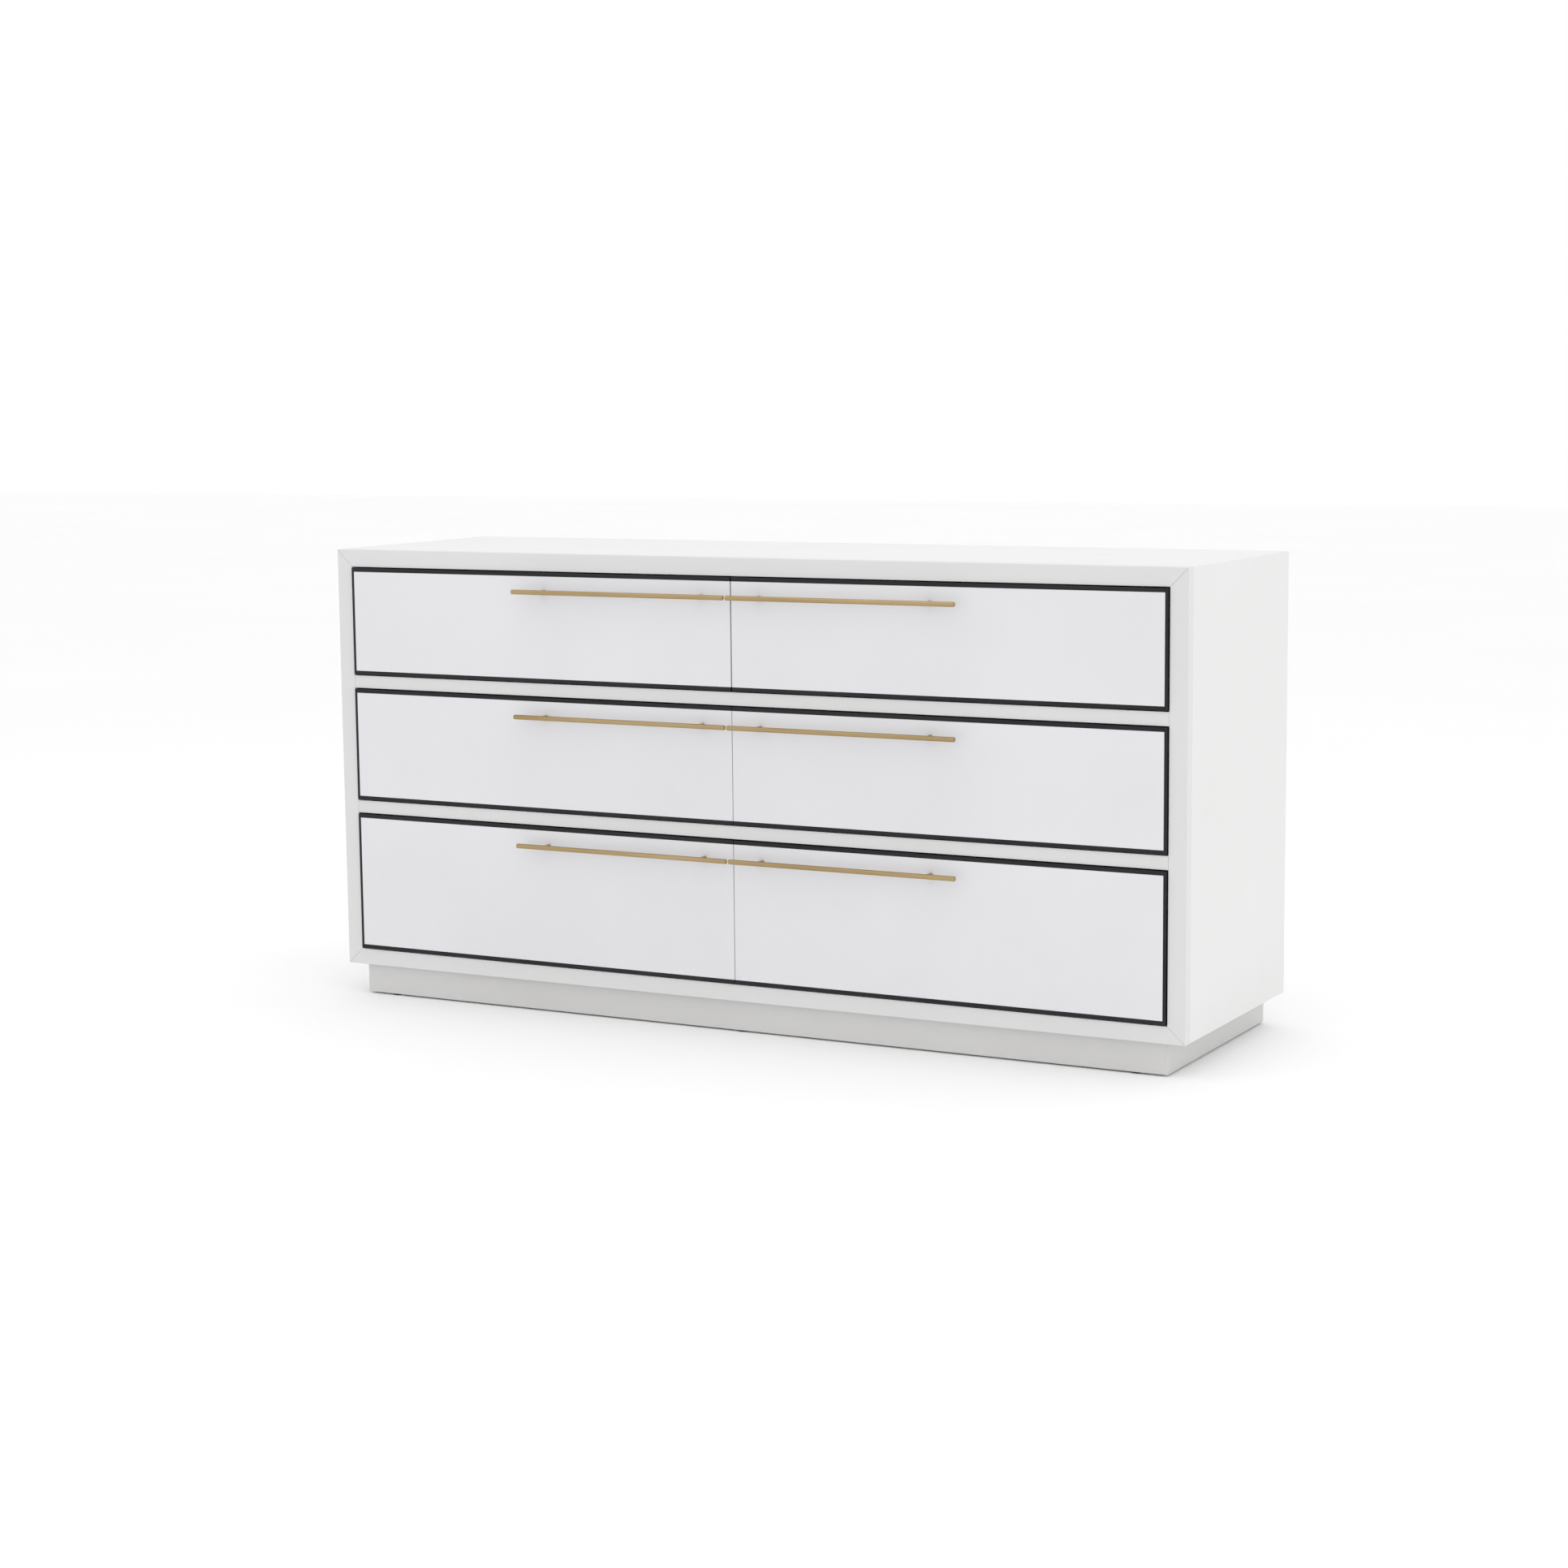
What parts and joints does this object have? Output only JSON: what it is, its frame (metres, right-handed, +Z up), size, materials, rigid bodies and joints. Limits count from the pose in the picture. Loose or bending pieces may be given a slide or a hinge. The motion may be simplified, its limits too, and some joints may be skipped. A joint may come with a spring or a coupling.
{
  "type": "dresser with drawers",
  "caption": "Low wide white dresser with rows of paired drawers on full-extension slides, black trim lines, slim brass bar pulls and a recessed plinth.",
  "frame": {"origin": "on the floor at the middle of the object's footprint, pulls included", "axes": "+X to the dresser's right end seen from the front, drawers face -Y, +Z up"},
  "size_m": [1.575, 0.485, 0.787],
  "materials": {
    "white_lacquer": "satin white lacquer on board",
    "black_trim": "satin charcoal-black",
    "drawer_wood": "clear-lacquered birch, fine straight grain",
    "drawer_bottom": "clear-lacquered birch plywood",
    "brass": "brushed along the bar",
    "slide_steel": "bright zinc plate",
    "glide": "matt nylon"
  },
  "bodies": {
    "case": {"top_lipping": "white_lacquer", "bottom_lipping": "white_lacquer", "left_lipping": "white_lacquer", "right_lipping": "white_lacquer", "upper_rail": "white_lacquer", "lower_rail": "white_lacquer", "top_panel": "white_lacquer", "bottom_panel": "white_lacquer", "left_side_panel": "white_lacquer", "right_side_panel": "white_lacquer", "back_panel": "white_lacquer", "centre_partition": "white_lacquer", "plinth_front": "white_lacquer", "plinth_back": "white_lacquer", "plinth_left": "white_lacquer", "plinth_right": "white_lacquer", "floor_glides": "glide", "cabinet_slide_channels": "slide_steel"},
    "upper_left_drawer": {"upper_left_drawer_front": "white_lacquer", "upper_left_drawer_trim": "black_trim", "upper_left_drawer_box": "drawer_wood", "upper_left_drawer_bottom": "drawer_bottom", "upper_left_drawer_pull": "brass", "upper_left_drawer_slides": "slide_steel"},
    "upper_left_drawer_middle_slides": {"upper_left_drawer_middle_slides": "slide_steel"},
    "upper_right_drawer": {"upper_right_drawer_front": "white_lacquer", "upper_right_drawer_trim": "black_trim", "upper_right_drawer_box": "drawer_wood", "upper_right_drawer_bottom": "drawer_bottom", "upper_right_drawer_pull": "brass", "upper_right_drawer_slides": "slide_steel"},
    "upper_right_drawer_middle_slides": {"upper_right_drawer_middle_slides": "slide_steel"},
    "middle_left_drawer": {"middle_left_drawer_front": "white_lacquer", "middle_left_drawer_trim": "black_trim", "middle_left_drawer_box": "drawer_wood", "middle_left_drawer_bottom": "drawer_bottom", "middle_left_drawer_pull": "brass", "middle_left_drawer_slides": "slide_steel"},
    "middle_left_drawer_middle_slides": {"middle_left_drawer_middle_slides": "slide_steel"},
    "middle_right_drawer": {"middle_right_drawer_front": "white_lacquer", "middle_right_drawer_trim": "black_trim", "middle_right_drawer_box": "drawer_wood", "middle_right_drawer_bottom": "drawer_bottom", "middle_right_drawer_pull": "brass", "middle_right_drawer_slides": "slide_steel"},
    "middle_right_drawer_middle_slides": {"middle_right_drawer_middle_slides": "slide_steel"},
    "lower_left_drawer": {"lower_left_drawer_front": "white_lacquer", "lower_left_drawer_trim": "black_trim", "lower_left_drawer_box": "drawer_wood", "lower_left_drawer_bottom": "drawer_bottom", "lower_left_drawer_pull": "brass", "lower_left_drawer_slides": "slide_steel"},
    "lower_left_drawer_middle_slides": {"lower_left_drawer_middle_slides": "slide_steel"},
    "lower_right_drawer": {"lower_right_drawer_front": "white_lacquer", "lower_right_drawer_trim": "black_trim", "lower_right_drawer_box": "drawer_wood", "lower_right_drawer_bottom": "drawer_bottom", "lower_right_drawer_pull": "brass", "lower_right_drawer_slides": "slide_steel"},
    "lower_right_drawer_middle_slides": {"lower_right_drawer_middle_slides": "slide_steel"}
  },
  "joints": [
    {"name": "upper_left_drawer_slide", "type": "slide", "parent": "case", "child": "upper_left_drawer", "axis": [0, -1, 0], "range_m": [0, 0.4]},
    {"name": "upper_left_drawer_middle_slides_slide", "type": "slide", "parent": "case", "child": "upper_left_drawer_middle_slides", "axis": [0, -1, 0], "range_m": [0, 0.2]},
    {"name": "upper_right_drawer_slide", "type": "slide", "parent": "case", "child": "upper_right_drawer", "axis": [0, -1, 0], "range_m": [0, 0.4]},
    {"name": "upper_right_drawer_middle_slides_slide", "type": "slide", "parent": "case", "child": "upper_right_drawer_middle_slides", "axis": [0, -1, 0], "range_m": [0, 0.2]},
    {"name": "middle_left_drawer_slide", "type": "slide", "parent": "case", "child": "middle_left_drawer", "axis": [0, -1, 0], "range_m": [0, 0.4]},
    {"name": "middle_left_drawer_middle_slides_slide", "type": "slide", "parent": "case", "child": "middle_left_drawer_middle_slides", "axis": [0, -1, 0], "range_m": [0, 0.2]},
    {"name": "middle_right_drawer_slide", "type": "slide", "parent": "case", "child": "middle_right_drawer", "axis": [0, -1, 0], "range_m": [0, 0.4]},
    {"name": "middle_right_drawer_middle_slides_slide", "type": "slide", "parent": "case", "child": "middle_right_drawer_middle_slides", "axis": [0, -1, 0], "range_m": [0, 0.2]},
    {"name": "lower_left_drawer_slide", "type": "slide", "parent": "case", "child": "lower_left_drawer", "axis": [0, -1, 0], "range_m": [0, 0.4]},
    {"name": "lower_left_drawer_middle_slides_slide", "type": "slide", "parent": "case", "child": "lower_left_drawer_middle_slides", "axis": [0, -1, 0], "range_m": [0, 0.2]},
    {"name": "lower_right_drawer_slide", "type": "slide", "parent": "case", "child": "lower_right_drawer", "axis": [0, -1, 0], "range_m": [0, 0.4]},
    {"name": "lower_right_drawer_middle_slides_slide", "type": "slide", "parent": "case", "child": "lower_right_drawer_middle_slides", "axis": [0, -1, 0], "range_m": [0, 0.2]}
  ],
  "couplings": [
    {"joint": "upper_left_drawer_middle_slides_slide", "follows": "upper_left_drawer_slide", "ratio": 0.5},
    {"joint": "upper_right_drawer_middle_slides_slide", "follows": "upper_right_drawer_slide", "ratio": 0.5},
    {"joint": "middle_left_drawer_middle_slides_slide", "follows": "middle_left_drawer_slide", "ratio": 0.5},
    {"joint": "middle_right_drawer_middle_slides_slide", "follows": "middle_right_drawer_slide", "ratio": 0.5},
    {"joint": "lower_left_drawer_middle_slides_slide", "follows": "lower_left_drawer_slide", "ratio": 0.5},
    {"joint": "lower_right_drawer_middle_slides_slide", "follows": "lower_right_drawer_slide", "ratio": 0.5}
  ]
}
